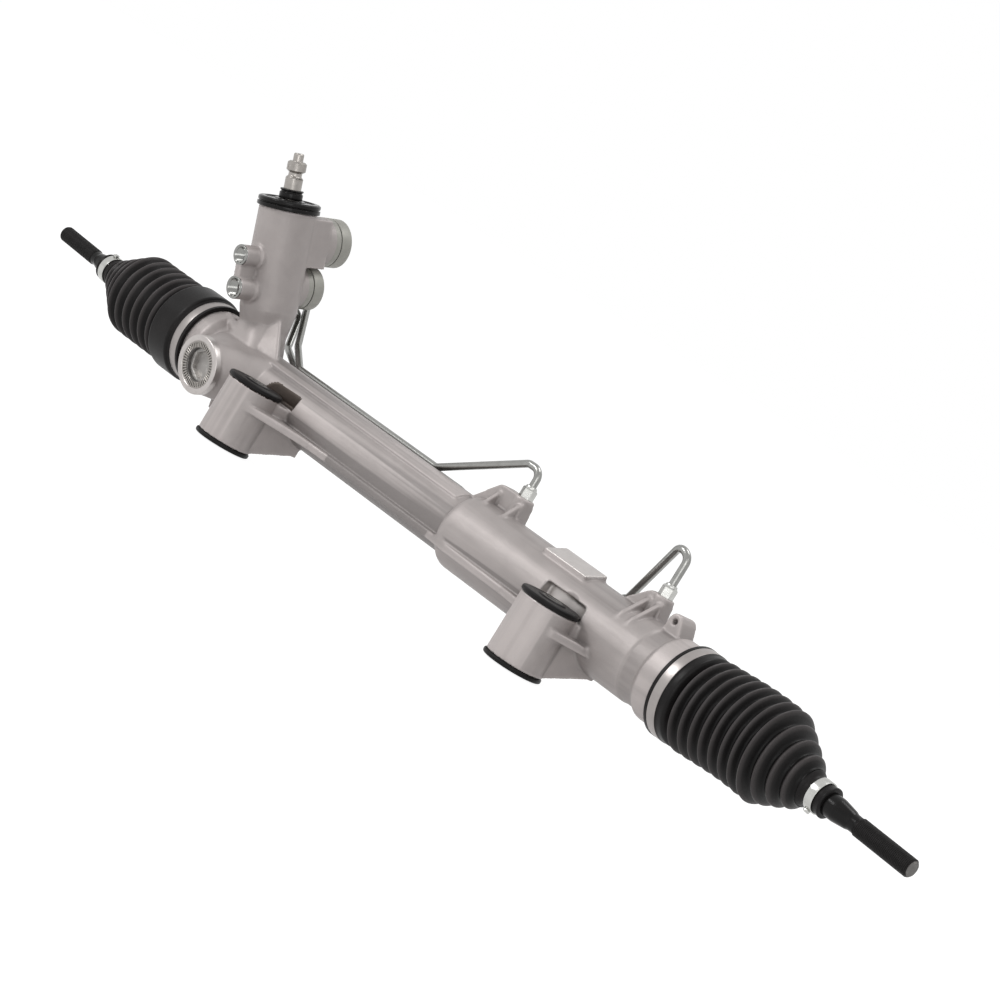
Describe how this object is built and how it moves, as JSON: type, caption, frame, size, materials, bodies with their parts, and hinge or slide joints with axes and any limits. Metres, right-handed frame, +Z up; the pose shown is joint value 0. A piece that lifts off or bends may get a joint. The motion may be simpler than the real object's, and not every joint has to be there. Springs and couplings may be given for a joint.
{
  "type": "hydraulic power steering rack",
  "caption": "Hydraulic rack-and-pinion steering gear with valve tower, power cylinder, rubber-bushed mounting eyes, ribbed boots and threaded tie rods.",
  "frame": {"origin": "centre of the left bush sleeve's bore at its lower end, where the rack is bolted to the crossmember", "axes": "+X along the rack from the pinion end to the cylinder end, +Y away from the mounting eyes, +Z up along the mounting bolts"},
  "size_m": [1.1752, 0.1348, 0.2583],
  "materials": {
    "cast": "as-cast, soft sheen",
    "steel": "ground",
    "dark_steel": "black phosphate",
    "zinc": "bright zinc plate",
    "machined": "machined",
    "rubber": "matt black",
    "bronze": "sintered",
    "polymer": "moulded"
  },
  "bodies": {
    "housing": {"rack_housing": "cast", "inner_rack_bush": "bronze", "inner_rack_seal": "rubber", "end_bush": "steel", "outer_rack_seal": "rubber", "end_ring": "dark_steel", "needle_bearing": "steel", "ball_bearing": "steel", "bottom_cover": "zinc", "shaft_bearing": "steel", "shaft_seal": "rubber", "tower_cap": "rubber", "upper_valve_plug": "machined", "lower_valve_plug": "machined", "plug_o_rings": "rubber", "yoke": "steel", "yoke_liner": "polymer", "yoke_spring": "steel", "yoke_adjuster": "dark_steel", "left_boot": "rubber", "right_boot": "rubber", "large_clamps": "zinc", "left_bush_shell": "steel", "right_bush_shell": "steel", "left_bush_rubber": "rubber", "right_bush_rubber": "rubber", "left_bush_sleeve": "dark_steel", "right_bush_sleeve": "dark_steel", "left_turn_pipe": "zinc", "right_turn_pipe": "zinc", "flare_nuts": "zinc", "port_seats": "zinc"},
    "rack": {"rack_bar": "steel", "piston": "steel", "piston_ring": "polymer", "lock_washers": "zinc", "left_socket": "dark_steel", "right_socket": "dark_steel", "left_ball_seat": "polymer", "right_ball_seat": "polymer"},
    "pinion": {"pinion": "steel", "pinion_nut": "zinc", "valve_sleeve": "steel", "sleeve_rings": "polymer", "torsion_bar": "dark_steel"},
    "input": {"input_shaft": "steel", "dust_collar": "rubber"},
    "left_joint": {"left_ball": "steel"},
    "right_joint": {"right_ball": "steel"},
    "left_rod": {"left_tie_rod": "dark_steel", "left_small_clamp": "zinc"},
    "right_rod": {"right_tie_rod": "dark_steel", "right_small_clamp": "zinc"}
  },
  "joints": [
    {"name": "rack_slide", "type": "slide", "parent": "housing", "child": "rack", "axis": [1, 0, 0], "range_m": [-0.068, 0.076], "deforming": ["left_boot", "right_boot"]},
    {"name": "pinion_turn", "type": "hinge", "parent": "housing", "child": "pinion", "pos_m": [-0.08, 0.0688, 0.06482], "axis": [-0.1994, -0.2701, 0.942], "range_deg": [-490, 547]},
    {"name": "valve_twist", "type": "hinge", "parent": "pinion", "child": "input", "pos_m": [-0.08, 0.0688, 0.06482], "axis": [-0.1994, -0.2701, 0.942], "range_deg": [-4, 4], "stiffness_Nm_per_rad": 80},
    {"name": "left_rod_swing", "type": "hinge", "parent": "rack", "child": "left_joint", "pos_m": [-0.238, 0.052, 0.06], "axis": [0, 0, 1], "range_deg": [-20, 20]},
    {"name": "left_rod_lift", "type": "hinge", "parent": "left_joint", "child": "left_rod", "pos_m": [-0.238, 0.052, 0.06], "axis": [0, 1, 0], "range_deg": [-20, 20]},
    {"name": "right_rod_swing", "type": "hinge", "parent": "rack", "child": "right_joint", "pos_m": [0.633, 0.052, 0.06], "axis": [0, 0, 1], "range_deg": [-20, 20]},
    {"name": "right_rod_lift", "type": "hinge", "parent": "right_joint", "child": "right_rod", "pos_m": [0.633, 0.052, 0.06], "axis": [0, 1, 0], "range_deg": [-20, 20]}
  ],
  "couplings": [
    {"joint": "pinion_turn", "follows": "rack_slide", "rad_per_m": 124.43}
  ]
}
